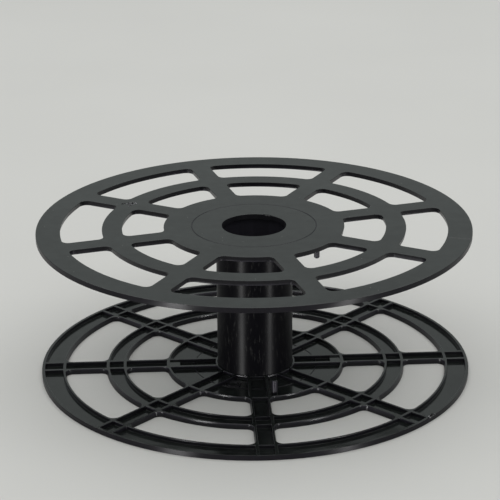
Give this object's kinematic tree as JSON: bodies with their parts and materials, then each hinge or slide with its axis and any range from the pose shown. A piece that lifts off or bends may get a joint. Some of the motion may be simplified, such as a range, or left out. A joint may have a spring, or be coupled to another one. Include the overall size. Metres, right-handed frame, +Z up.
{
  "type": "string light storage reel",
  "caption": "Empty black plastic storage reel for string lights: two flat round flanges with spokes, rings and open windows on a hollow barrel.",
  "frame": {"origin": "centre of the bottom face of the lower flange, on the axis of the bore", "axes": "+Z up along the bore, +X and +Y along spokes of the lower flange"},
  "size_m": [0.29, 0.29, 0.102],
  "materials": {
    "flange_plastic": "semi-gloss black polypropylene, fine moulded grain",
    "barrel_plastic": "glossy black tube"
  },
  "bodies": {
    "root": {"lower_flange": "flange_plastic", "barrel": "barrel_plastic", "upper_flange": "flange_plastic"}
  },
  "joints": []
}
